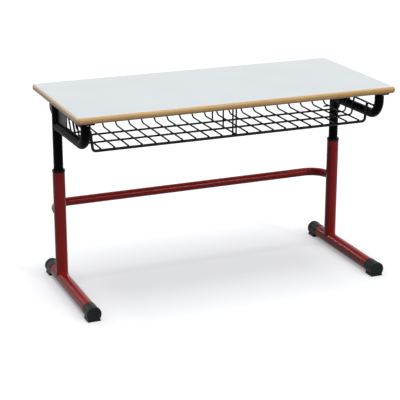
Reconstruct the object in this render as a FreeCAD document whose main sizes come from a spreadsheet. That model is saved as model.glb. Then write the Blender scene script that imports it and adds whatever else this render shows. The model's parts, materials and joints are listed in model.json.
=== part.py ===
"""Double school desk: laminate top with beech lipping on a telescopic steel frame, wire basket below.

X is left to right as the user sits, Y runs from the user to the rear, Z is up from the floor.
Every driving size is a cell of the sheet `dim`; the pieces are bound to it by expressions.
"""
import FreeCAD, Part
import math
import os
import Sketcher

V = FreeCAD.Vector

doc = FreeCAD.newDocument("double_school_desk")
dim = doc.addObject("Spreadsheet::Sheet", "dim")

# Driving sizes in millimetres
SIZES = [
    ("top_width", 1200, "desk top, left to right"),
    ("top_depth", 550, "desk top, front to rear"),
    ("top_height", 726.5, "floor to the writing surface"),
    ("top_thickness", 25, "finished thickness of the desk top"),
    ("top_corner", 14, "plan radius of the desk top corners"),
    ("lipping_width", 14, "solid wood lipping under the laminate, edge to core"),
    ("lipping_flat", 3, "upright band of the edge between its two roundings"),
    ("laminate_thickness", 1, "laminate and backing sheet"),
    ("leg_inset", 42.5, "side edge of the top to the column axis"),
    ("leg_setback", 166.5, "rear edge of the top to the column axis"),
    ("lower_tube", 45, "lower column diameter"),
    ("lower_wall", 2, "lower column wall"),
    ("lower_height", 434.5, "floor to the top of the lower column"),
    ("upper_tube", 35, "upper column diameter"),
    ("upper_wall", 2, "upper column wall"),
    ("insert_depth", 190, "length of upper column inside the lower one"),
    ("slide_clearance", 0.3, "radial play of the sliding fit"),
    ("foot_tube", 48, "foot tube diameter"),
    ("foot_wall", 2, "foot tube wall"),
    ("foot_lift", 2, "floor to the underside of the foot tube"),
    ("foot_front_inset", 3, "front edge of the top to the front cap"),
    ("foot_rear_inset", 26, "rear edge of the top to the rear cap"),
    ("cap_grip", 51, "length of cap on the foot tube"),
    ("cap_end", 8, "thickness of the closed cap end"),
    ("cap_wall", 1.5, "wall of the cap sleeve"),
    ("cap_head", 14, "length of the thicker cap head"),
    ("cap_head_step", 1.5, "radial step from sleeve to head"),
    ("cap_round", 3, "rounding of the cap end"),
    ("cap_sole_width", 47, "width of the cap on the floor"),
    ("cap_neck_width", 41, "width of the cap where the sole meets the sleeve"),
    ("cap_neck_height", 13, "floor to that waist"),
    ("cap_sole_length", 47, "length of the sole"),
    ("collar_height", 8, "visible height of the guide collar"),
    ("collar_lip", 1, "radial step of the collar over the lower column"),
    ("collar_sleeve", 60, "length of the collar inside the lower column"),
    ("collar_chamfer", 1, "chamfer on the collar"),
    ("plug_spigot", 30, "length of the slide plug in the upper column"),
    ("plug_foot", 25, "length of the slide plug below the upper column"),
    ("plug_wall", 3, "wall of the slide plug"),
    ("plug_chamfer", 2, "lead-in chamfer of the slide plug"),
    ("lock_drop", 30, "top of the lower column down to the lock screw"),
    ("lock_boss", 14, "lock boss diameter"),
    ("lock_boss_length", 5, "lock boss length beyond the column"),
    ("lock_screw", 6, "lock screw diameter"),
    ("lock_play", 0.2, "radial play of the lock screw in its hole"),
    ("lock_gap", 0.3, "tip of the open lock screw to the upper column"),
    ("lock_head", 10, "lock screw head diameter"),
    ("lock_head_length", 6, "lock screw head length"),
    ("lock_socket", 5, "lock screw hexagon across flats"),
    ("lock_socket_depth", 3, "depth of that hexagon"),
    ("crossbar_tube", 32, "crossbar diameter"),
    ("crossbar_wall", 2, "crossbar wall"),
    ("crossbar_height", 281, "floor to the crossbar axis"),
    ("crossbar_offset", 102.5, "column axis to the crossbar axis, rearward"),
    ("crossbar_bend", 75, "bend radius of the crossbar axis"),
    ("crossbar_shift", 5, "crossbar ends outboard of the column axis"),
    ("arm_tube", 34, "support arm diameter"),
    ("arm_wall", 2, "support arm wall"),
    ("arm_setback", 46, "front edge of the top to the arm upright"),
    ("arm_drop", 83.5, "front plate to the corner of the arm axis"),
    ("arm_rise", 7, "fall of the arm from that corner to the column"),
    ("arm_bend", 60, "bend radius of the arm axis"),
    ("front_plate_width", 50, "front plate, left to right"),
    ("front_plate_length", 66, "front plate, front to rear"),
    ("front_plate_thickness", 6, "front plate thickness"),
    ("front_plate_holes", 50, "spacing of the front plate screws"),
    ("column_plate_width", 60, "column plate, left to right"),
    ("column_plate_front", 126, "column axis to the front of its plate"),
    ("column_plate_rear", 90, "column axis to the rear of its plate"),
    ("column_plate_thickness", 5, "column plate thickness"),
    ("column_plate_inset", 12, "edges of the column plate to its screws"),
    ("plate_corner", 8, "corner radius of both plates"),
    ("gusset_thickness", 4, "sheet of both gussets"),
    ("gusset_front", 122, "column axis to the front edge of the front gusset"),
    ("gusset_rear", 84, "column axis to the rear edge of the rear gusset"),
    ("gusset_rear_edge", 49, "height of the rear edge of the rear gusset"),
    ("gusset_rear_drop", 86, "height of the rear gusset at the column axis"),
    ("screw_shank", 4, "wood screw diameter"),
    ("screw_length", 16, "wood screw length"),
    ("screw_head", 9, "wood screw head diameter"),
    ("screw_head_height", 3, "wood screw head height"),
    ("screw_play", 0.25, "radial play of the wood screws in plates and clips"),
    ("basket_depth", 114, "underside of the top to the floor wire axis"),
    ("basket_setback", 84, "front edge of the top to the basket front wire"),
    ("basket_wire_pitch", 98.5, "pitch of the wires along the basket floor"),
    ("basket_reach", 276, "basket front wire to the basket back"),
    ("basket_lean", 16, "rim axis to the floor corner, inward"),
    ("basket_end_margin", 26, "floor corner to the outermost cross wire"),
    ("basket_front_wire", 10, "front wire diameter"),
    ("basket_floor_wire", 7, "floor wire diameter"),
    ("basket_cross_wire", 6, "cross, end and divider wire diameter"),
    ("basket_rail", 7, "rim, rear rail and tie diameter"),
    ("cross_wires_per_side", 10, "cross wires each side of the middle one"),
    ("rim_drop", 49.5, "underside of the top to the rim axis"),
    ("rail_drop", 10, "underside of the top to the rear rail axis"),
    ("rail_overhang", 13, "rear rail beyond the outermost cross wire"),
    ("wire_bend", 12, "bend radius of the wire ends"),
    ("back_bend", 25, "bend radius at the foot of the basket back"),
    ("rim_bend", 25, "bend radius of the rim corners"),
    ("hairpin_bend", 5, "bend radius of the divider hairpin"),
    ("hairpin_gap", 0.5, "divider hairpin to the middle cross wire"),
    ("wire_tail", 4, "wire beyond its weld"),
    ("end_wire_tail", 12, "end wire beyond the outermost cross wire"),
    ("end_wire_setback", 29.75, "basket back to the nearest end wire"),
    ("weld_sink", 0.4, "depth that welded wires sink into each other"),
    ("clip_sheet", 1.5, "clip sheet thickness"),
    ("clip_width", 12, "clip width along the wire"),
    ("clip_flange", 12, "clip flange beyond the bow"),
    ("clip_play", 0.1, "radial play of the wire in its clip"),
]
for row, (alias, value, meaning) in enumerate(SIZES, start=1):
    dim.set(f"A{row}", meaning)
    dim.set(f"B{row}", str(value))
    dim.setAlias(f"B{row}", alias)
doc.recompute()

# Places and sizes that follow from the sheet
HALF_WIDTH = "(dim.top_width / 2)"
HALF_DEPTH = "(dim.top_depth / 2)"
INNER_WIDTH = f"({HALF_WIDTH} - dim.lipping_width)"
INNER_DEPTH = f"({HALF_DEPTH} - dim.lipping_width)"
UNDERSIDE = "(dim.top_height - dim.top_thickness)"
COLUMN_X = f"({HALF_WIDTH} - dim.leg_inset)"
COLUMN_Y = f"({HALF_DEPTH} - dim.leg_setback)"
COLUMN_TOP = f"({UNDERSIDE} - dim.column_plate_thickness)"
COLUMN_FOOT = "(dim.lower_height - dim.insert_depth)"
LOWER_BORE = "(dim.lower_tube - 2 * dim.lower_wall)"
UPPER_BORE = "(dim.upper_tube - 2 * dim.upper_wall)"
FOOT_Z = "(dim.foot_lift + dim.foot_tube / 2)"
FOOT_FRONT = f"(dim.foot_front_inset + dim.cap_end - {HALF_DEPTH})"
FOOT_REAR = f"({HALF_DEPTH} - dim.foot_rear_inset - dim.cap_end)"
LOCK_Z = "(dim.lower_height - dim.lock_drop)"
LOCK_HOLE = "(dim.lock_screw + 2 * dim.lock_play)"
LOCK_SEAT = "(dim.lower_tube / 2 + dim.lock_boss_length)"
ARM_Y = f"(dim.arm_setback - {HALF_DEPTH})"
ARM_TOP = f"({UNDERSIDE} - dim.front_plate_thickness)"
ARM_RUN = f"({COLUMN_Y} - {ARM_Y})"
ARM_SLOPE = f"(dim.arm_rise / {ARM_RUN})"
SCREW_HOLE = "(dim.screw_shank + 2 * dim.screw_play)"
BASKET_Z = f"({UNDERSIDE} - dim.basket_depth)"
BASKET_Y = f"(dim.basket_setback - {HALF_DEPTH})"
CROSS_LIFT = "((dim.basket_floor_wire + dim.basket_cross_wire) / 2 - dim.weld_sink)"
RAIL_STEP = "((dim.basket_rail + dim.basket_cross_wire) / 2 - dim.weld_sink)"
BACK_Y = f"({BASKET_Y} + dim.basket_reach)"
RAIL_Y = f"({BACK_Y} + {RAIL_STEP})"
RAIL_Z = f"({UNDERSIDE} - dim.rail_drop)"
RIM_X = f"({COLUMN_X} - (dim.arm_tube + dim.basket_rail) / 2 + dim.weld_sink)"
RIM_Z = f"({UNDERSIDE} - dim.rim_drop)"
FLOOR_X = f"({RIM_X} - dim.basket_lean)"
OUTER_X = f"({FLOOR_X} - dim.basket_end_margin)"
CROSS_PITCH = f"({OUTER_X} / dim.cross_wires_per_side)"
CORE = "(dim.top_thickness - 2 * dim.laminate_thickness)"
CORE_Z = f"({UNDERSIDE} + dim.laminate_thickness)"
LAMINATE_Z = "(dim.top_height - dim.laminate_thickness)"
EDGE_ROUND = "((dim.top_thickness - dim.lipping_flat) / 2)"
COLUMN_PLATE_HOLES = [
    (f"{sign}(dim.column_plate_width / 2 - dim.column_plate_inset)", y)
    for sign in ("-", "")
    for y in (
        "dim.column_plate_inset - dim.column_plate_front",
        "dim.column_plate_rear - dim.column_plate_inset",
    )
]
FRONT_PLATE_HOLES = [("0", "-dim.front_plate_holes / 2"), ("0", "dim.front_plate_holes / 2")]
CLIP_HOLE = "(dim.basket_rail / 2 + dim.clip_play + dim.clip_sheet + dim.clip_flange / 2)"
CLIP_SEAT = f"({UNDERSIDE} - dim.clip_sheet)"
RAIL_CLIPS = [
    f"{sign}{step} * {CROSS_PITCH}"
    for sign in ("-", "")
    for step in ("2.5", "(dim.cross_wires_per_side - 2.5)")
]
TIE_CLIP_Y = f"({BASKET_Y} + dim.basket_wire_pitch / 2)"


def measure(expression):
    """Number that an expression of sheet sizes has now."""
    return float(dim.evalExpression(expression))


def new_body(label, x="0", y="0", z="0", turn=0, many=False):
    """Body at a point given by expressions; many lets it hold separate solids."""
    body = doc.addObject("PartDesign::Body", label)
    body.Label = label
    body.AllowCompound = many
    body.Placement = FreeCAD.Placement(V(), FreeCAD.Rotation(V(0, 0, 1), turn))
    for axis, expression in zip("xyz", (x, y, z)):
        body.setExpression(f"Placement.Base.{axis}", expression)
    return body


def datum(body, role):
    """Plane or axis of the body's own origin."""
    return next(item for item in body.Origin.OriginFeatures if item.Role == role)


def sketch_on(body, role, lift="0"):
    """Empty sketch on an origin plane, lifted along the plane's normal."""
    sketch = body.newObject("Sketcher::SketchObject", "sketch")
    sketch.AttachmentSupport = [(datum(body, role), "")]
    sketch.MapMode = "FlatFace"
    sketch.setExpression("AttachmentOffset.Base.z", lift)
    return sketch


def bind(sketch, kind, *where, to):
    """Dimension whose value is an expression."""
    index = sketch.addConstraint(Sketcher.Constraint(kind, *where, measure(to)))
    sketch.setExpression(f"Constraints[{index}]", to)


def pin(sketch, geometry, point, x, y):
    """Hold a point of the geometry at two expressions."""
    bind(sketch, "DistanceX", -1, 1, geometry, point, to=x)
    bind(sketch, "DistanceY", -1, 1, geometry, point, to=y)


def circle(sketch, diameter, x="0", y="0"):
    """Circle with a bound diameter and centre."""
    centre = V(measure(x), measure(y), 0)
    index = sketch.addGeometry(Part.Circle(centre, V(0, 0, 1), measure(diameter) / 2))
    pin(sketch, index, 3, x, y)
    bind(sketch, "Diameter", index, to=diameter)


def polygon(sketch, points):
    """Closed outline through points that are pairs of expressions."""
    corners = [V(measure(x), measure(y), 0) for x, y in points]
    sides = zip(corners, corners[1:] + corners[:1])
    lines = [sketch.addGeometry(Part.LineSegment(start, end)) for start, end in sides]
    for line, following in zip(lines, lines[1:] + lines[:1]):
        sketch.addConstraint(Sketcher.Constraint("Coincident", line, 2, following, 1))
    for line, (x, y) in zip(lines, points):
        pin(sketch, line, 1, x, y)


def rectangle(sketch, left, right, low, high):
    """Upright rectangle between four expressions."""
    polygon(sketch, [(left, low), (right, low), (right, high), (left, high)])


def hexagon(sketch, flats):
    """Hexagon about the sketch origin, by its width across flats."""
    tip = f"({flats} / sqrt(3))"
    half = f"({flats} / sqrt(3) / 2)"
    polygon(sketch, [
        (tip, "0"), (half, f"{flats} / 2"), (f"-{half}", f"{flats} / 2"),
        (f"-{tip}", "0"), (f"-{half}", f"-{flats} / 2"), (half, f"-{flats} / 2"),
    ])


def channel(sketch, radius, top):
    """U outline: half circle about the sketch origin with straight sides up to top."""
    r, high = measure(radius), measure(top)
    left = sketch.addGeometry(Part.LineSegment(V(-r, high, 0), V(-r, 0, 0)))
    bow = Part.ArcOfCircle(Part.Circle(V(), V(0, 0, 1), r), math.pi, 2 * math.pi)
    bow = sketch.addGeometry(bow)
    right = sketch.addGeometry(Part.LineSegment(V(r, 0, 0), V(r, high, 0)))
    across = sketch.addGeometry(Part.LineSegment(V(r, high, 0), V(-r, high, 0)))
    sketch.addConstraint([
        Sketcher.Constraint("Coincident", bow, 3, -1, 1),
        Sketcher.Constraint("Tangent", left, 2, bow, 1),
        Sketcher.Constraint("Tangent", bow, 2, right, 1),
        Sketcher.Constraint("Coincident", right, 2, across, 1),
        Sketcher.Constraint("Coincident", across, 2, left, 1),
        Sketcher.Constraint("Vertical", left),
        Sketcher.Constraint("Vertical", right),
        Sketcher.Constraint("Horizontal", across),
    ])
    bind(sketch, "Radius", bow, to=radius)
    bind(sketch, "DistanceY", -1, 1, left, 1, to=top)


def bend_at(before, corner, after, radius):
    """Tangent arc at a corner: the points where it begins and ends, the arc, and if it turns left."""
    into = (corner - before).normalize()
    away = (after - corner).normalize()
    reach = radius * math.tan(into.getAngle(away) / 2)
    enter, leave = corner - into * reach, corner + away * reach
    left_turn = into.cross(away).z > 0
    centre = enter + V(-into.y, into.x, 0) * (radius if left_turn else -radius)
    first, last = (enter, leave) if left_turn else (leave, enter)
    arc = Part.ArcOfCircle(
        Part.Circle(centre, V(0, 0, 1), radius),
        math.atan2(first.y - centre.y, first.x - centre.x),
        math.atan2(last.y - centre.y, last.x - centre.x),
    )
    return enter, leave, arc, left_turn


def route(sketch, points, bends):
    """Straight runs through points, joined by tangent arcs; one bend radius per inner point."""
    corners = [V(measure(x), measure(y), 0) for x, y in points]
    triples = zip(corners, corners[1:], corners[2:], bends)
    arcs = [bend_at(before, corner, after, measure(bend)) for before, corner, after, bend in triples]
    here = corners[0]
    for enter, leave, arc, left_turn in arcs:
        sketch.addGeometry([Part.LineSegment(here, enter), arc])
        here = leave
    last_run = sketch.addGeometry(Part.LineSegment(here, corners[-1]))
    pin(sketch, 0, 1, *points[0])
    pin(sketch, last_run, 2, *points[-1])
    for number, bend in enumerate(bends):
        before, bow, after = 2 * number, 2 * number + 1, 2 * number + 2
        begin, finish = (1, 2) if arcs[number][3] else (2, 1)
        node = sketch.addGeometry(Part.Point(corners[number + 1]), True)
        sketch.addConstraint([
            Sketcher.Constraint("Tangent", before, 2, bow, begin),
            Sketcher.Constraint("Tangent", bow, finish, after, 1),
            Sketcher.Constraint("PointOnObject", node, 1, before),
            Sketcher.Constraint("PointOnObject", node, 1, after),
        ])
        pin(sketch, node, 1, *points[number + 1])
        bind(sketch, "Radius", bow, to=bend)


def bent_bar(body, role, points, bends, diameter, wall=None):
    """Round bar, or tube if it has a wall, bent along a route on an origin plane."""
    spine = sketch_on(body, role)
    route(spine, points, bends)
    section = body.newObject("Sketcher::SketchObject", "section")
    section.AttachmentSupport = [(spine, "Edge1")]
    section.MapMode = "NormalToEdge"
    circle(section, diameter)
    if wall:
        circle(section, f"{diameter} - 2 * {wall}")
    pipe = body.newObject("PartDesign::AdditivePipe", "bent_bar")
    pipe.Profile = section
    pipe.Spine = (spine, [f"Edge{number + 1}" for number in range(2 * len(bends) + 1)])
    return pipe


def pad(body, sketch, length, symmetric=False, reverse=False):
    """Extrusion along the sketch normal."""
    feature = body.newObject("PartDesign::Pad", "pad")
    feature.Profile = sketch
    feature.setExpression("Length", length)
    feature.SideType = "Symmetric" if symmetric else "One side"
    feature.Reversed = reverse
    return feature


def pocket(body, sketch, depth=None, symmetric=False, reverse=False):
    """Cut against the sketch normal, right through unless a depth is given."""
    feature = body.newObject("PartDesign::Pocket", "pocket")
    feature.Profile = sketch
    feature.SideType = "Symmetric" if symmetric else "One side"
    feature.Reversed = reverse
    if depth:
        feature.setExpression("Length", depth)
    else:
        feature.Type = "ThroughAll"
    return feature


def revolve(body, sketch, role):
    """Full turn of the sketch about an origin axis."""
    feature = body.newObject("PartDesign::Revolution", "revolution")
    feature.Profile = sketch
    feature.ReferenceAxis = (datum(body, role), [""])
    feature.Angle = 360
    return feature


def tube(body, role, diameter, wall, length, reverse=False):
    """Straight tube along the normal of an origin plane."""
    sketch = sketch_on(body, role)
    circle(sketch, diameter)
    circle(sketch, f"{diameter} - 2 * {wall}")
    return pad(body, sketch, length, reverse=reverse)


def cope(body, role, diameter, *centres):
    """Cut by round bars that run along the normal of an origin plane."""
    sketch = sketch_on(body, role)
    for x, y in centres:
        circle(sketch, diameter, x, y)
    return pocket(body, sketch, symmetric=True)


def round_edges(body, base, radius, wanted):
    """Fillet on the edges of a feature that pass the test."""
    doc.recompute()
    edges = base.Shape.Edges
    names = [f"Edge{number}" for number, edge in enumerate(edges, start=1) if wanted(edge)]
    feature = body.newObject("PartDesign::Fillet", "fillet")
    feature.Base = (base, names)
    feature.setExpression("Radius", radius)
    return feature


def is_upright(edge):
    """True for a straight edge along Z."""
    box = edge.BoundBox
    return box.XLength < 1e-6 and box.YLength < 1e-6


def is_level(edge):
    """True for an edge that stays at one height."""
    return edge.BoundBox.ZLength < 1e-6


def row_along(body, original, role, length, count):
    """Copies of a feature along an origin axis."""
    feature = body.newObject("PartDesign::LinearPattern", "row")
    feature.Originals = [original]
    feature.Direction = (datum(body, role), [""])
    feature.setExpression("Length", length)
    feature.setExpression("Occurrences", count)
    body.Tip = feature
    return feature


def copies(label, source, places):
    """One node with a copy of the source at each place: x, y, z and a turn about Z."""
    links = []
    for x, y, z, turn in places:
        link = doc.addObject("App::Link", f"{label}_copy")
        link.LinkedObject = source
        link.Placement = FreeCAD.Placement(V(), FreeCAD.Rotation(V(0, 0, 1), turn))
        for axis, expression in zip("xyz", (x, y, z)):
            link.setExpression(f"Placement.Base.{axis}", expression)
        links.append(link)
    group = doc.addObject("Part::Compound", label)
    group.Links = links
    return group


def combine(kind, label, base, tool):
    """Part boolean of two shapes under its own label."""
    result = doc.addObject(kind, label)
    result.Base = base
    result.Tool = tool
    return result


SIDES = (("left", f"-{COLUMN_X}", "-"), ("right", COLUMN_X, ""))
nodes = []


# Lower frame
def make_foot_tube(side, x):
    body = new_body(f"foot_tube_{side}", x, FOOT_FRONT, FOOT_Z)
    tube(body, "XZ_Plane", "dim.foot_tube", "dim.foot_wall", f"{FOOT_REAR} - {FOOT_FRONT}", reverse=True)
    return body


def make_foot_cap(label, x, y, turn):
    """Cap with its tube end at the origin and its closed end towards -Y before the turn."""
    body = new_body(label, x, y, FOOT_Z, turn)
    sleeve = "(dim.foot_tube + 2 * dim.cap_wall)"
    head = f"({sleeve} + 2 * dim.cap_head_step)"
    outside = sketch_on(body, "XZ_Plane", "dim.cap_end")
    circle(outside, sleeve)
    pad(body, outside, "dim.cap_end + dim.cap_grip", reverse=True)
    sole = sketch_on(body, "XZ_Plane", "dim.cap_end")
    waist = f"dim.cap_neck_height - {FOOT_Z}"
    polygon(sole, [
        ("-dim.cap_sole_width / 2", f"-{FOOT_Z}"), ("dim.cap_sole_width / 2", f"-{FOOT_Z}"),
        ("dim.cap_neck_width / 2", waist), ("-dim.cap_neck_width / 2", waist),
    ])
    pad(body, sole, "dim.cap_sole_length", reverse=True)
    rim = sketch_on(body, "XZ_Plane", "dim.cap_end")
    circle(rim, head)
    pad(body, rim, "dim.cap_head", reverse=True)
    below = sketch_on(body, "XZ_Plane", "dim.cap_end")
    rectangle(below, f"-{head}", head, f"-{FOOT_Z} - {head}", f"-{FOOT_Z}")
    flat = pocket(body, below)
    front = measure("-dim.cap_end")

    def on_the_end(edge):
        box = edge.BoundBox
        lifted = box.ZMax > measure(f"-{FOOT_Z}") + 1
        return lifted and abs(box.YMin - front) < 1e-6 and abs(box.YMax - front) < 1e-6

    round_edges(body, flat, "dim.cap_round", on_the_end)
    bore = sketch_on(body, "XZ_Plane")
    circle(bore, "dim.foot_tube")
    pocket(body, bore)
    return body


def make_lower_column(side, x):
    body = new_body(f"lower_column_{side}", x, COLUMN_Y, FOOT_Z)
    tube(body, "XY_Plane", "dim.lower_tube", "dim.lower_wall", f"dim.lower_height - {FOOT_Z}")
    cope(body, "XZ_Plane", "dim.foot_tube", ("0", "0"))
    lock_hole = sketch_on(body, "XZ_Plane")
    circle(lock_hole, LOCK_HOLE, "0", f"{LOCK_Z} - {FOOT_Z}")
    pocket(body, lock_hole)
    return body


def make_guide_collar(side, x):
    body = new_body(f"guide_collar_{side}", x, COLUMN_Y, "dim.lower_height")
    bore = "(dim.upper_tube / 2 + dim.slide_clearance)"
    lip = "(dim.lower_tube / 2 + dim.collar_lip)"
    section = sketch_on(body, "XZ_Plane")
    polygon(section, [
        (bore, "-dim.collar_sleeve"), (f"{LOWER_BORE} / 2", "-dim.collar_sleeve"),
        (f"{LOWER_BORE} / 2", "0"), (lip, "0"),
        (lip, "dim.collar_height - dim.collar_chamfer"),
        (f"{lip} - dim.collar_chamfer", "dim.collar_height"), (bore, "dim.collar_height"),
    ])
    revolve(body, section, "Z_Axis")
    lock_hole = sketch_on(body, "XZ_Plane")
    circle(lock_hole, LOCK_HOLE, "0", "-dim.lock_drop")
    pocket(body, lock_hole)
    return body


def make_lock_boss(side, x):
    body = new_body(f"lock_boss_{side}", x, COLUMN_Y, LOCK_Z)
    ring = sketch_on(body, "XZ_Plane")
    circle(ring, "dim.lock_boss")
    circle(ring, LOCK_HOLE)
    pad(body, ring, LOCK_SEAT, reverse=True)
    cope(body, "XY_Plane", "dim.lower_tube", ("0", "0"))
    return body


def make_lock_screw(side, x):
    body = new_body(f"lock_screw_{side}", x, COLUMN_Y, LOCK_Z)
    tip = "(dim.upper_tube / 2 + dim.lock_gap)"
    end = f"({LOCK_SEAT} + dim.lock_head_length)"
    section = sketch_on(body, "XY_Plane")
    polygon(section, [
        ("0", tip), ("dim.lock_screw / 2", tip), ("dim.lock_screw / 2", LOCK_SEAT),
        ("dim.lock_head / 2", LOCK_SEAT), ("dim.lock_head / 2", end), ("0", end),
    ])
    revolve(body, section, "Y_Axis")
    socket = sketch_on(body, "XZ_Plane", f"-{end}")
    hexagon(socket, "dim.lock_socket")
    pocket(body, socket, "dim.lock_socket_depth", reverse=True)
    return body


def make_crossbar():
    body = new_body("crossbar", "0", COLUMN_Y, "dim.crossbar_height")
    leg = f"({COLUMN_X} + dim.crossbar_shift)"
    start = "dim.lower_tube / 4"
    bent_bar(
        body, "XY_Plane",
        [(f"-{leg}", start), (f"-{leg}", "dim.crossbar_offset"), (leg, "dim.crossbar_offset"), (leg, start)],
        ["dim.crossbar_bend", "dim.crossbar_bend"], "dim.crossbar_tube", "dim.crossbar_wall",
    )
    cope(body, "XY_Plane", "dim.lower_tube", (f"-{COLUMN_X}", "0"), (COLUMN_X, "0"))
    return body


# Upper frame
def make_upper_column(side, x):
    body = new_body(f"upper_column_{side}", x, COLUMN_Y, COLUMN_FOOT)
    tube(body, "XY_Plane", "dim.upper_tube", "dim.upper_wall", f"{COLUMN_TOP} - {COLUMN_FOOT}")
    return body


def make_slide_plug(side, x):
    body = new_body(f"slide_plug_{side}", x, COLUMN_Y, COLUMN_FOOT)
    spigot = f"({UPPER_BORE} / 2)"
    bore = f"({spigot} - dim.plug_wall)"
    flange = f"({LOWER_BORE} / 2 - dim.slide_clearance)"
    section = sketch_on(body, "XZ_Plane")
    polygon(section, [
        (bore, "-dim.plug_foot"), (f"{flange} - dim.plug_chamfer", "-dim.plug_foot"),
        (flange, "dim.plug_chamfer - dim.plug_foot"), (flange, "0"), (spigot, "0"),
        (spigot, "dim.plug_spigot"), (bore, "dim.plug_spigot"),
    ])
    revolve(body, section, "Z_Axis")
    return body


def make_support_arm(side, x):
    """Arm from its top end down, round the bend and back to the column."""
    body = new_body(f"support_arm_{side}", x, ARM_Y, ARM_TOP)
    run = f"({ARM_RUN} - dim.upper_tube / 4)"
    bent_bar(
        body, "YZ_Plane",
        [("0", "0"), ("0", "-dim.arm_drop"), (run, f"-dim.arm_drop - {ARM_SLOPE} * {run}")],
        ["dim.arm_bend"], "dim.arm_tube", "dim.arm_wall",
    )
    cope(body, "XY_Plane", "dim.upper_tube", ("0", ARM_RUN))
    return body


def make_plate(body, corners, thickness, holes):
    """Flat plate with rounded corners and screw holes, its underside on the body's origin plane."""
    outline = sketch_on(body, "XY_Plane")
    rectangle(outline, *corners)
    blank = pad(body, outline, thickness)
    round_edges(body, blank, "dim.plate_corner", is_upright)
    drilled = sketch_on(body, "XY_Plane")
    for x, y in holes:
        circle(drilled, SCREW_HOLE, x, y)
    pocket(body, drilled, symmetric=True)
    return body


def make_front_plate(side, x):
    body = new_body(f"front_plate_{side}", x, ARM_Y, ARM_TOP)
    wide, long = "dim.front_plate_width / 2", "dim.front_plate_length / 2"
    corners = (f"-{wide}", wide, f"-{long}", long)
    return make_plate(body, corners, "dim.front_plate_thickness", FRONT_PLATE_HOLES)


def make_column_plate(side, x):
    body = new_body(f"column_plate_{side}", x, COLUMN_Y, COLUMN_TOP)
    wide = "dim.column_plate_width / 2"
    corners = (f"-{wide}", wide, "-dim.column_plate_front", "dim.column_plate_rear")
    return make_plate(body, corners, "dim.column_plate_thickness", COLUMN_PLATE_HOLES)


def make_front_gusset(side, x):
    """Web on top of the arm, between the column and its plate."""
    body = new_body(f"front_gusset_{side}", x, COLUMN_Y, COLUMN_TOP)
    arm_axis = f"({ARM_TOP} - dim.arm_drop - dim.arm_rise - {COLUMN_TOP})"
    arm_top = f"({arm_axis} + dim.arm_tube / 2 * sqrt(1 + {ARM_SLOPE} ^ 2))"
    start = "(dim.upper_tube / 4)"
    web = sketch_on(body, "YZ_Plane")
    polygon(web, [
        (f"-{start}", "0"), ("-dim.gusset_front", "0"),
        ("-dim.gusset_front", f"{arm_top} + {ARM_SLOPE} * dim.gusset_front"),
        (f"-{start}", f"{arm_top} + {ARM_SLOPE} * {start}"),
    ])
    pad(body, web, "dim.gusset_thickness", symmetric=True)
    cope(body, "XY_Plane", "dim.upper_tube", ("0", "0"))
    return body


def make_rear_gusset(side, x):
    """Web under the rear half of the column plate, with a slanted lower edge."""
    body = new_body(f"rear_gusset_{side}", x, COLUMN_Y, COLUMN_TOP)
    start = "(dim.upper_tube / 4)"
    web = sketch_on(body, "YZ_Plane")
    polygon(web, [
        (start, "0"), ("dim.gusset_rear", "0"), ("dim.gusset_rear", "-dim.gusset_rear_edge"),
        (start, "-dim.gusset_rear_drop"),
    ])
    pad(body, web, "dim.gusset_thickness", symmetric=True)
    cope(body, "XY_Plane", "dim.upper_tube", ("0", "0"))
    return body


def make_wood_screw():
    """Pan head screw, seat of the head at the origin and point up."""
    body = new_body("wood_screw")
    shank, head = "(dim.screw_shank / 2)", "(dim.screw_head / 2)"
    crown = "(dim.screw_head_height / 2)"
    section = sketch_on(body, "XZ_Plane")
    polygon(section, [
        ("0", "-dim.screw_head_height"), (f"{head} - {crown}", "-dim.screw_head_height"),
        (head, f"-{crown}"), (head, "0"), (shank, "0"),
        (shank, "dim.screw_length - dim.screw_shank"), ("0", "dim.screw_length"),
    ])
    revolve(body, section, "Z_Axis")
    return body


# Desk top
def make_board(label, half_width, half_depth, z, thickness):
    """Flat board with square corners."""
    body = new_body(label, z=z)
    outline = sketch_on(body, "XY_Plane")
    rectangle(outline, f"-{half_width}", half_width, f"-{half_depth}", half_depth)
    pad(body, outline, thickness)
    return body


def make_top_form():
    """Outside form that the glued-up top is routed to: round corners and round edges."""
    body = make_board("top_form", HALF_WIDTH, HALF_DEPTH, UNDERSIDE, "dim.top_thickness")
    corners = round_edges(body, body.Tip, "dim.top_corner", is_upright)
    round_edges(body, corners, EDGE_ROUND, is_level)
    return body


def make_laminate(form):
    """Sheet over the whole top, routed through at the round edges."""
    sheet = make_board("laminate_sheet", HALF_WIDTH, HALF_DEPTH, LAMINATE_Z, "dim.laminate_thickness")
    return combine("Part::Common", "top_laminate", form, sheet)


def make_lipping(side, form, screws, points):
    """Mitred strip round the core, under the laminate and shaped by the outside form."""
    strip = new_body(f"lipping_strip_{side}", z=UNDERSIDE)
    outline = sketch_on(strip, "XY_Plane")
    polygon(outline, points)
    pad(strip, outline, "dim.top_thickness - dim.laminate_thickness")
    profiled = combine("Part::Common", f"lipping_profile_{side}", form, strip)
    return combine("Part::Cut", f"lipping_{side}", profiled, screws)


# Basket
def raised_end(wire, lift):
    """Point where a floor wire, lifted from the floor wire level, ends above the rim."""
    rim = f"(dim.basket_depth - dim.rim_drop - {lift})"
    lean = f"({RIM_X} - (dim.basket_rail + {wire}) / 2 + dim.weld_sink - {FLOOR_X})"
    return f"({FLOOR_X} + {lean} * ({rim} + dim.wire_tail) / {rim})", f"({rim} + dim.wire_tail)"


def make_long_wire(label, y, wire, lift, many=False):
    """Wire along the basket floor with both ends raised to the rim."""
    body = new_body(label, y=y, z=f"{BASKET_Z} + {lift}", many=many)
    top_x, top_z = raised_end(wire, lift)
    bar = bent_bar(
        body, "XZ_Plane",
        [(f"-{top_x}", top_z), (f"-{FLOOR_X}", "0"), (FLOOR_X, "0"), (top_x, top_z)],
        ["dim.wire_bend", "dim.wire_bend"], wire,
    )
    return body, bar


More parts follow.
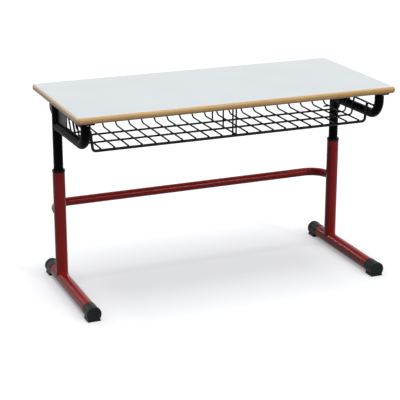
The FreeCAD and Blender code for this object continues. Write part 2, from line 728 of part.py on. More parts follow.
def make_front_wire():
    lift = "((dim.basket_floor_wire - dim.basket_front_wire) / 2)"
    return make_long_wire("basket_front_wire", BASKET_Y, "dim.basket_front_wire", lift)[0]


def make_floor_wires():
    body, bar = make_long_wire(
        "basket_floor_wires", f"{BASKET_Y} + dim.basket_wire_pitch", "dim.basket_floor_wire", "0", many=True)
    row_along(body, bar, "Y_Axis", "dim.basket_wire_pitch", "2")
    return body


def make_cross_wires():
    body = new_body(
        "basket_cross_wires", f"-{OUTER_X}", BASKET_Y, f"{BASKET_Z} + {CROSS_LIFT}", many=True)
    top = f"{RAIL_Z} + dim.wire_tail - {BASKET_Z} - {CROSS_LIFT}"
    bar = bent_bar(
        body, "YZ_Plane", [("-dim.wire_tail", "0"), ("dim.basket_reach", "0"), ("dim.basket_reach", top)],
        ["dim.back_bend"], "dim.basket_cross_wire",
    )
    row_along(body, bar, "X_Axis", f"2 * {OUTER_X}", "2 * dim.cross_wires_per_side + 1")
    return body


def make_rear_rail():
    body = new_body("basket_rear_rail", "0", RAIL_Y, RAIL_Z)
    section = sketch_on(body, "YZ_Plane")
    circle(section, "dim.basket_rail")
    pad(body, section, f"2 * ({OUTER_X} + dim.rail_overhang)", symmetric=True)
    return body


def make_rim():
    """Rim round three sides, its front ends welded on the inner sides of the arm uprights."""
    body = new_body("basket_rim", z=RIM_Z)
    front = f"{ARM_Y} - dim.wire_tail"
    bent_bar(
        body, "XY_Plane",
        [(f"-{RIM_X}", front), (f"-{RIM_X}", RAIL_Y), (RIM_X, RAIL_Y), (RIM_X, front)],
        ["dim.rim_bend", "dim.rim_bend"], "dim.basket_rail",
    )
    return body


def make_end_wires(side, sign):
    """Two wires from the rim down and in under the outermost cross wire."""
    lift = f"({CROSS_LIFT} - dim.basket_cross_wire + dim.weld_sink)"
    body = new_body(
        f"basket_end_wires_{side}", "0", f"{BACK_Y} - dim.end_wire_setback - dim.basket_wire_pitch",
        f"{BASKET_Z} + {lift}", many=True)
    top_x, top_z = raised_end("dim.basket_cross_wire", lift)
    bar = bent_bar(
        body, "XZ_Plane",
        [(f"{sign}{top_x}", top_z), (f"{sign}{FLOOR_X}", "0"),
         (f"{sign}({OUTER_X} - dim.end_wire_tail)", "0")],
        ["dim.wire_bend"], "dim.basket_cross_wire",
    )
    row_along(body, bar, "Y_Axis", "dim.basket_wire_pitch", "2")
    return body


def make_divider():
    """Hairpin on the front wire, two posts on the middle cross wire and a tie above them."""
    body = new_body("basket_divider", "0", BASKET_Y, RAIL_Z)
    wire = "dim.basket_cross_wire"
    cross_top = f"({BASKET_Z} + {CROSS_LIFT} + {wire} / 2 - {RAIL_Z})"
    front_top = f"({BASKET_Z} + dim.basket_floor_wire / 2 - {RAIL_Z})"
    leg = f"({wire} + dim.hairpin_gap)"
    bent_bar(
        body, "XZ_Plane",
        [(f"-{leg}", f"{front_top} - dim.weld_sink"), (f"-{leg}", "0"), (leg, "0"),
         (leg, f"{front_top} - dim.weld_sink")],
        ["dim.hairpin_bend", "dim.hairpin_bend"], wire,
    )
    tie = sketch_on(body, "XZ_Plane", "dim.wire_tail")
    circle(tie, "dim.basket_rail")
    pad(body, tie, f"dim.wire_tail + dim.basket_reach - {wire} / 2 + dim.weld_sink", reverse=True)
    posts = sketch_on(body, "XY_Plane")
    circle(posts, wire, "0", "dim.basket_wire_pitch")
    circle(posts, wire, "0", "2 * dim.basket_wire_pitch")
    pad(body, posts, f"dim.weld_sink - {cross_top}", reverse=True)
    return body


def make_clip():
    """Saddle that holds a wire along X to the board above it; the wire axis is at the origin."""
    body = new_body("saddle_clip")
    inside = "(dim.basket_rail / 2 + dim.clip_play)"
    outside = f"({inside} + dim.clip_sheet)"
    bow = sketch_on(body, "YZ_Plane")
    channel(bow, outside, "dim.rail_drop")
    pad(body, bow, "dim.clip_width", symmetric=True)
    flange = sketch_on(body, "YZ_Plane")
    edge = f"({outside} + dim.clip_flange)"
    rectangle(flange, f"-{edge}", edge, "dim.rail_drop - dim.clip_sheet", "dim.rail_drop")
    pad(body, flange, "dim.clip_width", symmetric=True)
    gap = sketch_on(body, "YZ_Plane")
    channel(gap, inside, "dim.rail_drop + dim.clip_sheet")
    pocket(body, gap, symmetric=True)
    holes = sketch_on(body, "XY_Plane")
    for y in (f"-{CLIP_HOLE}", CLIP_HOLE):
        circle(holes, SCREW_HOLE, "0", y)
    pocket(body, holes, symmetric=True)
    return body


# Assembly
for side, x, sign in SIDES:
    nodes += [
        make_foot_tube(side, x),
        make_foot_cap(f"foot_cap_front_{side}", x, FOOT_FRONT, 0),
        make_foot_cap(f"foot_cap_rear_{side}", x, FOOT_REAR, 180),
        make_lower_column(side, x),
        make_guide_collar(side, x),
        make_lock_boss(side, x),
        make_lock_screw(side, x),
        make_upper_column(side, x),
        make_slide_plug(side, x),
        make_support_arm(side, x),
        make_front_plate(side, x),
        make_column_plate(side, x),
        make_front_gusset(side, x),
        make_rear_gusset(side, x),
        make_end_wires(side, sign),
    ]
nodes.append(make_crossbar())

wood_screw = make_wood_screw()
plate_places = []
for side, x, sign in SIDES:
    for hole_x, hole_y in COLUMN_PLATE_HOLES:
        plate_places.append((f"{x} + {hole_x}", f"{COLUMN_Y} + {hole_y}", COLUMN_TOP, 0))
    for hole_x, hole_y in FRONT_PLATE_HOLES:
        plate_places.append((f"{x} + {hole_x}", f"{ARM_Y} + {hole_y}", ARM_TOP, 0))
plate_screws = copies("plate_screws", wood_screw, plate_places)

clip_places = [(x, RAIL_Y, RAIL_Z, 0) for x in RAIL_CLIPS] + [("0", TIE_CLIP_Y, RAIL_Z, 90)]
clips = copies("basket_clips", make_clip(), clip_places)
clip_screw_places = []
for hole in (f"-{CLIP_HOLE}", CLIP_HOLE):
    clip_screw_places += [(x, f"{RAIL_Y} + {hole}", CLIP_SEAT, 0) for x in RAIL_CLIPS]
    clip_screw_places.append((hole, TIE_CLIP_Y, CLIP_SEAT, 0))
clip_screws = copies("basket_clip_screws", wood_screw, clip_screw_places)
nodes += [plate_screws, clips, clip_screws]

all_screws = doc.addObject("Part::Compound", "all_screws")
all_screws.Links = [plate_screws, clip_screws]
core_blank = make_board("core_blank", INNER_WIDTH, INNER_DEPTH, CORE_Z, CORE)
backing_blank = make_board("backing_blank", INNER_WIDTH, INNER_DEPTH, UNDERSIDE, "dim.laminate_thickness")
top_form = make_top_form()
nodes += [
    combine("Part::Cut", "top_core", core_blank, all_screws),
    combine("Part::Cut", "backing_laminate", backing_blank, all_screws),
    make_laminate(top_form),
]

outer = [(f"-{HALF_WIDTH}", f"-{HALF_DEPTH}"), (HALF_WIDTH, f"-{HALF_DEPTH}"),
         (HALF_WIDTH, HALF_DEPTH), (f"-{HALF_WIDTH}", HALF_DEPTH)]
inner = [(f"-{INNER_WIDTH}", f"-{INNER_DEPTH}"), (INNER_WIDTH, f"-{INNER_DEPTH}"),
         (INNER_WIDTH, INNER_DEPTH), (f"-{INNER_WIDTH}", INNER_DEPTH)]
for number, side in enumerate(("front", "right", "rear", "left")):
    after = (number + 1) % 4
    points = [outer[number], outer[after], inner[after], inner[number]]
    nodes.append(make_lipping(side, top_form, all_screws, points))

nodes += [
    make_front_wire(), make_floor_wires(), make_cross_wires(), make_rear_rail(), make_rim(), make_divider(),
]

doc.recompute()
for item in doc.Objects:
    if "Invalid" in item.State or "Error" in item.State:
        raise RuntimeError(f"{item.Label} did not build: {item.State}")
os.makedirs("parts", exist_ok=True)
for node in nodes:
    if node.Shape.isNull() or not node.Shape.isValid():
        raise RuntimeError(f"{node.Label} has no valid shape")
    node.Shape.exportStep(f"parts/{node.Label}.step")
    print(node.Label, len(node.Shape.Solids), round(node.Shape.Volume))
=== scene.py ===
import json
import math

import bpy
from mathutils import Matrix, Vector


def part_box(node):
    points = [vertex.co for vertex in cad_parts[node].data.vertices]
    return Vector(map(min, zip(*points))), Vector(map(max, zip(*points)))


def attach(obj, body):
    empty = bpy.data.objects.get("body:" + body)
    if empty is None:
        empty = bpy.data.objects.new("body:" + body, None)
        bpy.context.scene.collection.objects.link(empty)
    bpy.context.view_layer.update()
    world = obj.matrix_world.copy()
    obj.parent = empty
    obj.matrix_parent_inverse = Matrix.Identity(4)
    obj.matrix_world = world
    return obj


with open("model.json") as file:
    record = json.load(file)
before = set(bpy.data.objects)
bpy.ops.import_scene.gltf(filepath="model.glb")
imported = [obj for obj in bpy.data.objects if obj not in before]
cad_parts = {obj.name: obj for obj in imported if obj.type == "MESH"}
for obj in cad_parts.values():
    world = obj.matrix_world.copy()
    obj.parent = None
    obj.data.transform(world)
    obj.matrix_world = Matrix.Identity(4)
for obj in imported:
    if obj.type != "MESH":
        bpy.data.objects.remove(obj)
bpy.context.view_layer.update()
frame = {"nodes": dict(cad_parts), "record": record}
nodes = frame["nodes"]
scene = bpy.context.scene
scene.view_settings.view_transform = "Standard"

# Lengths are in metres, angles in degrees, and colours in linear light.


# Materials
GRAIN_DEPTH = 0.0003
CHIP_DEPTH = 0.0006


def add_node(tree, kind, inputs):
    """A new shader node: an output given for one of its inputs is linked, anything else is set."""
    node = tree.nodes.new(kind)
    for key, value in inputs.items():
        if isinstance(value, bpy.types.NodeSocket):
            tree.links.new(value, node.inputs[key])
        else:
            node.inputs[key].default_value = value
    return node


class Shader:
    """A Principled material with helpers for its texture nodes, in object coordinates."""

    def __init__(self, name, colour, roughness, **sockets):
        self.material = bpy.data.materials.new(name)
        self.material.use_nodes = True
        self.tree = self.material.node_tree
        self.bsdf = self.tree.nodes["Principled BSDF"]
        self.coords = self.add("ShaderNodeTexCoord", {}).outputs["Object"]
        self.bsdf.inputs["Base Color"].default_value = (*colour, 1.0)
        self.bsdf.inputs["Roughness"].default_value = roughness
        for key, value in sockets.items():
            self.bsdf.inputs[key.replace("_", " ")].default_value = value

    def add(self, kind, inputs):
        return add_node(self.tree, kind, inputs)

    def drive(self, socket, out):
        """One of the Principled shader's own sockets, from a texture."""
        self.tree.links.new(out, self.bsdf.inputs[socket])

    def stretched(self, scale):
        """Object coordinates times a scale on each axis."""
        mapping = {"Vector": self.coords, "Scale": scale}
        return self.add("ShaderNodeMapping", mapping).outputs["Vector"]

    def noise(self, vector, scale=1.0, detail=3.0, roughness=0.5, distortion=0.0):
        texture = {
            "Vector": vector, "Scale": scale, "Detail": detail,
            "Roughness": roughness, "Distortion": distortion}
        return self.add("ShaderNodeTexNoise", texture).outputs["Fac"]

    def ramp(self, factor, *stops):
        """Colours between stops, each a position and a colour."""
        node = self.add("ShaderNodeValToRGB", {"Fac": factor})
        elements = node.color_ramp.elements
        while len(elements) < len(stops):
            elements.new(0.5)
        for element, (position, colour) in zip(elements, stops):
            element.position = position
            element.color = (*colour, 1.0)
        return node.outputs["Color"]

    def span(self, factor, low, high):
        """A 0 to 1 factor mapped to a range of numbers."""
        reach = {"Value": factor, "To Min": low, "To Max": high}
        return self.add("ShaderNodeMapRange", reach).outputs["Result"]

    def tint(self, factor, tone, colour):
        """A tone turned towards one colour by a 0 to 1 factor."""
        node = self.tree.nodes.new("ShaderNodeMix")
        node.data_type = "RGBA"
        sockets = {item.identifier: item for item in node.inputs}
        self.tree.links.new(factor, sockets["Factor_Float"])
        self.tree.links.new(tone, sockets["A_Color"])
        sockets["B_Color"].default_value = (*colour, 1.0)
        return next(item for item in node.outputs if item.identifier == "Result_Color")

    def bump(self, height, strength, distance=GRAIN_DEPTH):
        relief = {"Height": height, "Strength": strength, "Distance": distance}
        self.drive("Normal", self.add("ShaderNodeBump", relief).outputs["Normal"])


def make_laminate():
    """Pale grey high-pressure laminate with a fine pebble grain."""
    m = Shader("grey_laminate", (0.720, 0.762, 0.780), 0.42, Specular_IOR_Level=0.16)
    deep, pale, speckle = (0.723, 0.766, 0.784), (0.746, 0.789, 0.807), (0.62, 0.66, 0.68)
    cloud = m.noise(m.coords, scale=5.0, detail=4.0)
    speck = m.noise(m.coords, scale=1100.0, detail=2.0)
    tone = m.ramp(cloud, (0.35, deep), (0.65, pale))
    m.drive("Base Color", m.tint(m.span(speck, 0.0, 0.24), tone, speckle))
    m.drive("Roughness", m.span(m.noise(m.coords, scale=60.0), 0.38, 0.47))
    m.bump(speck, 0.09)
    return m.material


def make_beech(name, along, tones):
    """Beech under matt lacquer: grain bands along one axis in three tones, short dark flecks."""
    dark, middle, light = tones
    fleck_colour = (0.30, 0.15, 0.06)
    m = Shader(name, middle, 0.55, Specular_IOR_Level=0.25)

    def grain(lengthwise, crosswise, **look):
        scale = [crosswise] * 3
        scale["xyz".index(along)] = lengthwise
        return m.noise(m.stretched(scale), **look)

    bands = grain(2.2, 48.0, detail=5.0, roughness=0.6, distortion=0.4)
    fine = grain(10.0, 420.0, roughness=0.6)
    fleck = grain(70.0, 900.0, detail=1.0)
    tone = m.ramp(bands, (0.25, dark), (0.5, middle), (0.75, light))
    tone = m.tint(m.span(fine, 0.0, 0.30), tone, dark)
    spots = m.ramp(fleck, (0.66, (0.0, 0.0, 0.0)), (0.72, (0.55, 0.55, 0.55)))
    m.drive("Base Color", m.tint(spots, tone, fleck_colour))
    m.drive("Roughness", m.span(fine, 0.48, 0.62))
    m.bump(fine, 0.08)
    return m.material


def make_red_paint():
    """Deep red gloss enamel on tube, with a little orange peel."""
    m = Shader("red_paint", (0.370, 0.0135, 0.0125), 0.18, Specular_IOR_Level=0.115)
    deep, bright = (0.355, 0.0120, 0.0115), (0.385, 0.0150, 0.0135)
    cloud = m.noise(m.coords, scale=7.0)
    m.drive("Base Color", m.ramp(cloud, (0.3, deep), (0.7, bright)))
    m.drive("Roughness", m.span(m.noise(m.coords, scale=90.0), 0.16, 0.22))
    m.bump(m.noise(m.coords, scale=260.0, detail=1.5), 0.05)
    return m.material


def make_black_paint(name, roughness, gloss):
    """Black powder coat with its fine grain."""
    m = Shader(name, (0.0015, 0.0015, 0.0015), roughness, Specular_IOR_Level=gloss)
    deep, lighter = (0.001, 0.001, 0.001), (0.0025, 0.0025, 0.0025)
    grain = m.noise(m.coords, scale=650.0, detail=2.0)
    cloud = m.noise(m.coords, scale=40.0)
    m.drive("Base Color", m.ramp(grain, (0.3, deep), (0.75, lighter)))
    m.drive("Roughness", m.span(cloud, roughness - 0.05, roughness + 0.07))
    m.bump(grain, 0.18)
    return m.material


def make_plastic(name, colour, roughness, gloss):
    """Injection moulded plastic with a spark-eroded texture."""
    m = Shader(name, colour, roughness, Specular_IOR_Level=gloss)
    lighter = tuple(channel * 1.35 + 0.002 for channel in colour)
    grain = m.noise(m.coords, scale=900.0, detail=2.0)
    cloud = m.noise(m.coords, scale=25.0)
    m.drive("Base Color", m.ramp(cloud, (0.3, colour), (0.75, lighter)))
    m.drive("Roughness", m.span(grain, roughness - 0.06, roughness + 0.08))
    m.bump(grain, 0.15)
    return m.material


def make_zinc():
    """Zinc plated steel with faint mottling."""
    m = Shader("zinc_steel", (0.55, 0.55, 0.56), 0.36, Metallic=1.0)
    dull, bright = (0.47, 0.47, 0.48), (0.62, 0.62, 0.62)
    cloud = m.noise(m.coords, scale=300.0)
    m.drive("Base Color", m.ramp(cloud, (0.3, dull), (0.7, bright)))
    m.drive("Roughness", m.span(cloud, 0.28, 0.46))
    return m.material


def make_backing():
    """Plain off-white balancing sheet on the underside."""
    m = Shader("backing", (0.62, 0.63, 0.63), 0.55)
    deep, pale = (0.59, 0.60, 0.60), (0.64, 0.65, 0.65)
    cloud = m.noise(m.coords, scale=9.0, detail=4.0)
    m.drive("Base Color", m.ramp(cloud, (0.3, deep), (0.7, pale)))
    m.bump(m.noise(m.coords, scale=700.0), 0.08)
    return m.material


def make_chipboard():
    """Pressed chips, seen only if the top is taken apart."""
    m = Shader("core_board", (0.48, 0.36, 0.22), 0.8)
    dark, pale = (0.33, 0.22, 0.12), (0.60, 0.47, 0.31)
    chips = m.noise(m.stretched((260.0, 140.0, 500.0)), detail=4.0, roughness=0.7)
    m.drive("Base Color", m.ramp(chips, (0.3, dark), (0.7, pale)))
    m.bump(chips, 0.3, CHIP_DEPTH)
    return m.material


BEECH_LONG = make_beech(
    "beech_long", "x", ((0.62, 0.368, 0.140), (0.73, 0.460, 0.199), (0.82, 0.562, 0.281)))
# Short-side lipping: beech with its grain along y, in tones paler and lighter than the long sides.
# The grain direction is real; the paler tones are painted light for the light that falls on the
# side edges.
BEECH_SHORT_PAINTED_LIGHT = make_beech(
    "beech_short_painted_light", "y", ((0.775, 0.555, 0.352), (0.88, 0.672, 0.462), (0.935, 0.762, 0.562)))
SHEET_PAINT = make_black_paint("sheet_paint", 0.38, 0.13)
SLOT_MATERIALS = {
    "grey_laminate": make_laminate(),
    "beech": BEECH_LONG,
    "core_board": make_chipboard(),
    "backing": make_backing(),
    "red_paint": make_red_paint(),
    "black_paint": make_black_paint("black_paint", 0.42, 0.025),
    "basket_paint": make_black_paint("basket_paint", 0.38, 0.13),
    "cap_plastic": make_plastic("cap_plastic", (0.020, 0.021, 0.0215), 0.36, 0.08),
    "black_plastic": make_plastic("black_plastic", (0.003, 0.003, 0.003), 0.38, 0.07),
    "zinc_steel": make_zinc(),
}
slot_of = {part["node"]: part["material_slot"] for part in frame["record"]["subparts"]}

for name, node in nodes.items():
    material = SLOT_MATERIALS[slot_of[name]]
    # The side lipping takes the lighter beech copy, whose paler tones are painted light.
    if name in ("lipping_left", "lipping_right"):
        material = BEECH_SHORT_PAINTED_LIGHT
    elif "gusset" in name:
        material = SHEET_PAINT
    node.data.materials.clear()
    node.data.materials.append(material)


# Weld beads and weld nuggets, which the solids leave out
BEAD_RADIUS = {"saddle": 0.0021, "crossbar": 0.0019, "boss": 0.0012, "tube": 0.0018, "web": 0.0014}
BEAD_SIDES = 8
BEAD_STEP = 0.0012
RIPPLE_PITCH, RIPPLE_SHARE = 0.0045, 0.16
RED_RING_POINTS, BLACK_RING_POINTS = 120, 100
# A direction in which no bead runs
ASKEW = Vector((0.31, 0.52, 0.79))
# Climb of the support arm from the column to its front corner
ARM_RISE = 0.007
# How far under a plate a bead runs, and where the upright beads of a gusset stop
RING_DROP, WEB_DROP = 0.0006, 0.0005
WEB_TOP_GAP, WEB_FOOT_GAP = 0.002, 0.003

FLOOR_WIRE, CROSS_WIRE = 0.007, 0.006
CROSS_WIRES_PER_SIDE = 10
NUGGET_RINGS, NUGGET_SIDES = 4, 12
NUGGET_REACH, NUGGET_DEPTH = 0.0038, 0.0017
# The larger nuggets that hold the rim on the arms, and their place behind the front plate's middle
RIM_NUGGET = (0.0022, 0.0075, 0.0044)
RIM_NUGGET_SETBACK = 0.006


def add_piece(name, vertices, faces, body, slot):
    """Smooth mesh piece in the shared frame, riding on a body."""
    mesh = bpy.data.meshes.new(name)
    mesh.from_pydata(vertices, [], faces)
    mesh.update()
    mesh.polygons.foreach_set("use_smooth", [True] * len(mesh.polygons))
    mesh.materials.append(SLOT_MATERIALS[slot])
    piece = bpy.data.objects.new(name, mesh)
    scene.collection.objects.link(piece)
    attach(piece, body)


def middle_and_half(node):
    """Middle of a node's box, and half its size."""
    low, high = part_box(node)
    return (low + high) / 2, (high - low) / 2


def bead_mesh(path, radius, closed):
    """Tube along a path of points, with the ripples of a weld bead."""
    vertices, faces = [], []
    count = len(path)
    travelled = 0.0
    for index, point in enumerate(path):
        before = path[index - 1] if closed or index else point
        after = path[(index + 1) % count] if closed or index + 1 < count else point
        along = (after - before).normalized()
        side = along.cross(ASKEW).normalized()
        up = along.cross(side)
        travelled += (point - before).length
        swell = radius * (1.0 + RIPPLE_SHARE * math.sin(math.tau * travelled / RIPPLE_PITCH))
        for number in range(BEAD_SIDES):
            angle = math.tau * number / BEAD_SIDES
            vertices.append(point + (side * math.cos(angle) + up * math.sin(angle)) * swell)
    for ring in range(count if closed else count - 1):
        here, there = ring * BEAD_SIDES, (ring + 1) % count * BEAD_SIDES
        for number in range(BEAD_SIDES):
            beside = (number + 1) % BEAD_SIDES
            faces.append((here + number, here + beside, there + beside, there + number))
    if not closed:
        faces.append(tuple(reversed(range(BEAD_SIDES))))
        faces.append(tuple(range((count - 1) * BEAD_SIDES, count * BEAD_SIDES)))
    return vertices, faces


def ring_path(place, points):
    """Closed path from a function of the angle."""
    return [Vector(place(math.tau * number / points)) for number in range(points)]


def line_path(start, end):
    """Straight path with points close enough for the ripples."""
    start, end = Vector(start), Vector(end)
    count = max(2, int((end - start).length / BEAD_STEP))
    return [start.lerp(end, index / count) for index in range(count + 1)]


def add_lower_welds(side):
    """Beads that join the foot tube, the crossbar and the lock boss of one side to its column."""
    column, column_half = middle_and_half(f"lower_column_{side}")
    foot, foot_half = middle_and_half(f"foot_tube_{side}")
    bar, bar_half = middle_and_half("crossbar")
    boss, boss_half = middle_and_half(f"lock_boss_{side}")
    x, y = column.x, column.y
    column_r, foot_r, bar_r, boss_r = column_half.x, foot_half.z, bar_half.z, boss_half.z
    bar_x = bar.x + math.copysign(bar_half.x - bar_r, x)

    def column_rear(at):
        return y + math.sqrt(column_r ** 2 - (at - x) ** 2)

    def saddle(angle):
        across = column_r * math.cos(angle)
        rise = math.sqrt(foot_r ** 2 - across ** 2)
        return (x + across, y + column_r * math.sin(angle), foot.z + rise)

    def bar_end(angle):
        at = bar_x + bar_r * math.cos(angle)
        return (at, column_rear(at), bar.z + bar_r * math.sin(angle))

    def boss_foot(angle):
        at = x + boss_r * math.cos(angle)
        return (at, column_rear(at), boss.z + boss_r * math.sin(angle))

    for label, place in (("saddle", saddle), ("crossbar", bar_end), ("boss", boss_foot)):
        mesh = bead_mesh(ring_path(place, RED_RING_POINTS), BEAD_RADIUS[label], True)
        add_piece(f"weld_{label}_{side}", *mesh, "lower_frame", "red_paint")


def add_upper_welds(side):
    """Beads that join the arm, the plates and the gussets of one side to its upper column."""
    column, column_half = middle_and_half(f"upper_column_{side}")
    arm, arm_half = middle_and_half(f"support_arm_{side}")
    front_y = middle_and_half(f"front_plate_{side}")[0].y
    x, y = column.x, column.y
    column_r, arm_r = column_half.x, arm_half.x
    arm_z = arm.z - arm_half.z + arm_r

    def arm_end(angle):
        across = arm_r * math.cos(angle)
        ahead = math.sqrt(column_r ** 2 - across ** 2)
        climb = ARM_RISE * ahead / (y - front_y)
        return (x + across, y - ahead, arm_z + arm_r * math.sin(angle) + climb)

    def under_plate(middle_y, radius, plate_z):
        return lambda angle: (
            x + radius * math.cos(angle), middle_y + radius * math.sin(angle), plate_z - RING_DROP)

    rings = {
        "arm_end": arm_end,
        "arm_top": under_plate(front_y, arm_r, arm.z + arm_half.z),
        "column_top": under_plate(y, column_r, column.z + column_half.z),
    }
    for label, place in rings.items():
        mesh = bead_mesh(ring_path(place, BLACK_RING_POINTS), BEAD_RADIUS["tube"], True)
        add_piece(f"weld_{label}_{side}", *mesh, "upper_frame", "black_paint")

    for gusset in ("front", "rear"):
        low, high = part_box(f"{gusset}_gusset_{side}")
        near, far = (high.y, low.y) if gusset == "front" else (low.y, high.y)
        for face in (low.x, high.x):
            where = "in" if abs(face) < abs(x) else "out"
            flat = line_path((face, near, high.z - WEB_DROP), (face, far, high.z - WEB_DROP))
            tall = line_path((face, near, high.z - WEB_TOP_GAP), (face, near, low.z + WEB_FOOT_GAP))
            for label, path in (("plate", flat), ("column", tall)):
                name = f"weld_{gusset}_{label}_{side}_{where}"
                mesh = bead_mesh(path, BEAD_RADIUS["web"], False)
                add_piece(name, *mesh, "upper_frame", "black_paint")


def nugget_mesh(nuggets):
    """Weld nuggets: flattened beads with an uneven edge, from their centres and reaches."""
    vertices, faces = [], []
    for number, (centre, reach) in enumerate(nuggets):
        start = len(vertices)
        for ring in range(NUGGET_RINGS + 2):
            polar = math.pi * ring / (NUGGET_RINGS + 1)
            for step in range(NUGGET_SIDES if 0 < ring <= NUGGET_RINGS else 1):
                angle = math.tau * step / NUGGET_SIDES
                lobes = 0.10 * math.sin(3 * angle + 1.7 * number)
                lumps = 0.05 * math.sin(5 * angle - number)
                out = (1.0 + lobes + lumps) * math.sin(polar)
                way = Vector((math.cos(angle) * out, math.sin(angle) * out, math.cos(polar)))
                vertices.append(Vector(centre) + Vector(reach) * way)
        last = len(vertices) - 1
        for step in range(NUGGET_SIDES):
            beside = (step + 1) % NUGGET_SIDES
            faces.append((start, start + 1 + step, start + 1 + beside))
            for ring in range(NUGGET_RINGS - 1):
                upper = start + 1 + ring * NUGGET_SIDES
                lower = upper + NUGGET_SIDES
                faces.append((upper + step, lower + step, lower + beside, upper + beside))
            faces.append((last, last - NUGGET_SIDES + beside, last - NUGGET_SIDES + step))
    return vertices, faces


def add_nuggets():
    """Weld nuggets where the basket wires cross and where they meet the rim and the arms."""
    cross_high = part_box("basket_cross_wires")[1]
    floor_low, floor_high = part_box("basket_floor_wires")
    rim_low, rim_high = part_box("basket_rim")
    front_y = middle_and_half("basket_front_wire")[0].y
    rail_z = middle_and_half("basket_rear_rail")[0].z
    rim_z = (rim_low.z + rim_high.z) / 2
    rim_inner = rim_high.x - (rim_high.z - rim_low.z)
    outer = cross_high.x - CROSS_WIRE / 2
    floor_top = floor_low.z + FLOOR_WIRE
    rows = [front_y, floor_low.y + FLOOR_WIRE / 2, floor_high.y - FLOOR_WIRE / 2]
    flat = (NUGGET_REACH, NUGGET_REACH, NUGGET_DEPTH)
    upright = (NUGGET_REACH, NUGGET_DEPTH, NUGGET_REACH)
    sideways = (NUGGET_DEPTH, NUGGET_REACH, NUGGET_REACH)
    nuggets = []
    for number in range(-CROSS_WIRES_PER_SIDE, CROSS_WIRES_PER_SIDE + 1):
        x = outer * number / CROSS_WIRES_PER_SIDE
        nuggets += [((x, y, floor_top), flat) for y in rows]
        nuggets += [((x, cross_high.y, z), upright) for z in (rail_z, rim_z)]
    for side, sign in (("left", -1), ("right", 1)):
        end_low, end_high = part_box(f"basket_end_wires_{side}")
        ends = [end_low.y + CROSS_WIRE / 2, end_high.y - CROSS_WIRE / 2]
        nuggets += [((sign * outer, y, end_low.z + CROSS_WIRE), flat) for y in ends]
        nuggets += [((sign * rim_inner, y, rim_z), sideways) for y in rows + ends]
        arm_y = middle_and_half(f"front_plate_{side}")[0].y + RIM_NUGGET_SETBACK
        nuggets.append(((sign * rim_high.x, arm_y, rim_z), RIM_NUGGET))
    add_piece("weld_spots_basket", *nugget_mesh(nuggets), "upper_frame", "basket_paint")


for side in ("left", "right"):
    add_lower_welds(side)
    add_upper_welds(side)
add_nuggets()


# Stage, light and camera
FLOOR_HALF = 30.0
FLOOR_PALE = (0.62, 0.62, 0.62, 1.0)
FLOOR_DULL = (0.10, 0.10, 0.10, 1.0)
FLOOR_GLOW = (0.965, 0.975, 1.0, 1.0)
# Painted contact shadow: the glow falls to the first level where ambient occlusion finds the floor
# covered within this reach
CONTACT_REACH = 0.09
GLOW_COVERED, GLOW_OPEN = 0.21, 0.53
SKY_DIM, SKY_DIM_LEVEL = (0.95, 0.97, 1.0, 1.0), 0.15
SKY_WHITE, SKY_WHITE_LEVEL = (1.0, 1.0, 1.0, 1.0), 1.0

YAW, PITCH, ROLL = 22.612, 18.341, 0.053
EYE = (-1.7871, -4.1677, 1.7918)
FOCAL_PX, PICTURE_PX = 1284.05, 400.0
SENSOR_MM = 36.0
CLIP_END = 100.0


def seen_directly(tree):
    """1 for rays from the eye, also by gloss or glass, and 0 for rays that light other things."""
    path = tree.nodes.new("ShaderNodeLightPath")
    direct = path.outputs["Is Camera Ray"]
    for kind in ("Is Glossy Ray", "Is Transmission Ray"):
        either = add_node(tree, "ShaderNodeMath", {0: direct, 1: path.outputs[kind]})
        either.operation = "MAXIMUM"
        direct = either.outputs[0]
    return direct


def add_floor():
    """Pale floor: white to the eye and in gloss, with the object's shadow kept and a painted
    contact shadow where parts are close above it.
    """
    half = FLOOR_HALF
    mesh = bpy.data.meshes.new("floor")
    corners = [(-half, -half, 0), (half, -half, 0), (half, half, 0), (-half, half, 0)]
    mesh.from_pydata(corners, [], [(0, 1, 2, 3)])
    material = bpy.data.materials.new("floor")
    material.use_nodes = True
    tree = material.node_tree
    tree.nodes.clear()
    pale = add_node(tree, "ShaderNodeBsdfDiffuse", {"Color": FLOOR_PALE})
    dull = add_node(tree, "ShaderNodeBsdfDiffuse", {"Color": FLOOR_DULL})
    # Ambient occlusion dims the glow near the parts: a painted contact shadow on the floor.
    painted_contact_shade = add_node(tree, "ShaderNodeAmbientOcclusion", {"Distance": CONTACT_REACH})
    level = add_node(tree, "ShaderNodeMapRange", {
        "Value": painted_contact_shade.outputs["AO"], "To Min": GLOW_COVERED, "To Max": GLOW_OPEN})
    glow = add_node(tree, "ShaderNodeEmission", {
        "Color": FLOOR_GLOW, "Strength": level.outputs["Result"]})
    lit = add_node(tree, "ShaderNodeAddShader", {0: pale.outputs[0], 1: glow.outputs[0]})
    choice = add_node(tree, "ShaderNodeMixShader", {
        "Fac": seen_directly(tree), 1: dull.outputs[0], 2: lit.outputs[0]})
    add_node(tree, "ShaderNodeOutputMaterial", {"Surface": choice.outputs[0]})
    mesh.materials.append(material)
    floor = bpy.data.objects.new("floor", mesh)
    scene.collection.objects.link(floor)


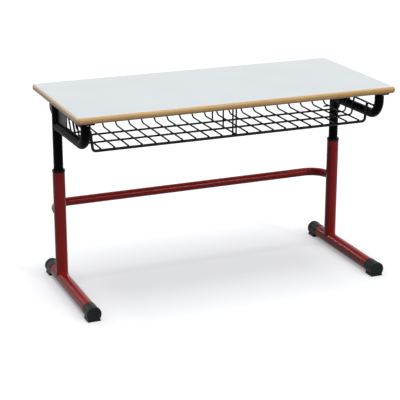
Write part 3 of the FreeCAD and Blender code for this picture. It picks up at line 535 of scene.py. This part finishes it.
def add_world():
    """White backdrop to the eye and in gloss, dim even light on the object."""
    world = bpy.data.worlds.new("studio")
    world.use_nodes = True
    tree = world.node_tree
    dim = tree.nodes["Background"]
    dim.inputs["Color"].default_value = SKY_DIM
    dim.inputs["Strength"].default_value = SKY_DIM_LEVEL
    white = add_node(tree, "ShaderNodeBackground", {
        "Color": SKY_WHITE, "Strength": SKY_WHITE_LEVEL})
    choice = add_node(tree, "ShaderNodeMixShader", {
        "Fac": seen_directly(tree), 1: dim.outputs[0], 2: white.outputs[0]})
    tree.links.new(choice.outputs[0], tree.nodes["World Output"].inputs["Surface"])
    scene.world = world


def add_light(name, place, level, spread):
    """Broad far lamp: level is what it adds to a white surface that faces it."""
    light = bpy.data.lights.new(name, "SUN")
    light.energy = level * math.pi
    light.angle = math.radians(spread)
    lamp = bpy.data.objects.new(name, light)
    lamp.location = place
    lamp.rotation_euler = (-Vector(place)).to_track_quat("-Z", "Y").to_euler()
    scene.collection.objects.link(lamp)


def add_camera():
    """Camera of the photograph: place and turn from a fit to the straight edges."""
    yaw, pitch, roll = (math.radians(turn) for turn in (YAW, PITCH, ROLL))
    ahead = Vector((
        math.sin(yaw) * math.cos(pitch), math.cos(yaw) * math.cos(pitch), -math.sin(pitch)))
    right = Vector((math.cos(yaw), -math.sin(yaw), 0.0))
    up = right.cross(ahead)
    across = right * math.cos(roll) + up * math.sin(roll)
    upright = up * math.cos(roll) - right * math.sin(roll)
    camera = bpy.data.cameras.new("camera")
    camera.sensor_width = SENSOR_MM
    camera.lens = FOCAL_PX / PICTURE_PX * SENSOR_MM
    camera.clip_end = CLIP_END
    eye = bpy.data.objects.new("camera", camera)
    turn = Matrix((across, upright, -ahead)).transposed().to_4x4()
    eye.matrix_world = Matrix.Translation(EYE) @ turn
    scene.collection.objects.link(eye)
    scene.camera = eye


add_floor()
add_world()
add_light("overhead", (0.0, 0.0, 4.0), 0.545, 40.0)
add_light("high_front", (0.7, -2.4, 3.1), 0.245, 62.0)
add_light("front", (1.55, -3.4, 1.98), 0.16, 6.0)
add_light("rear", (-1.52, 3.28, 1.72), 0.05, 7.0)
add_camera()
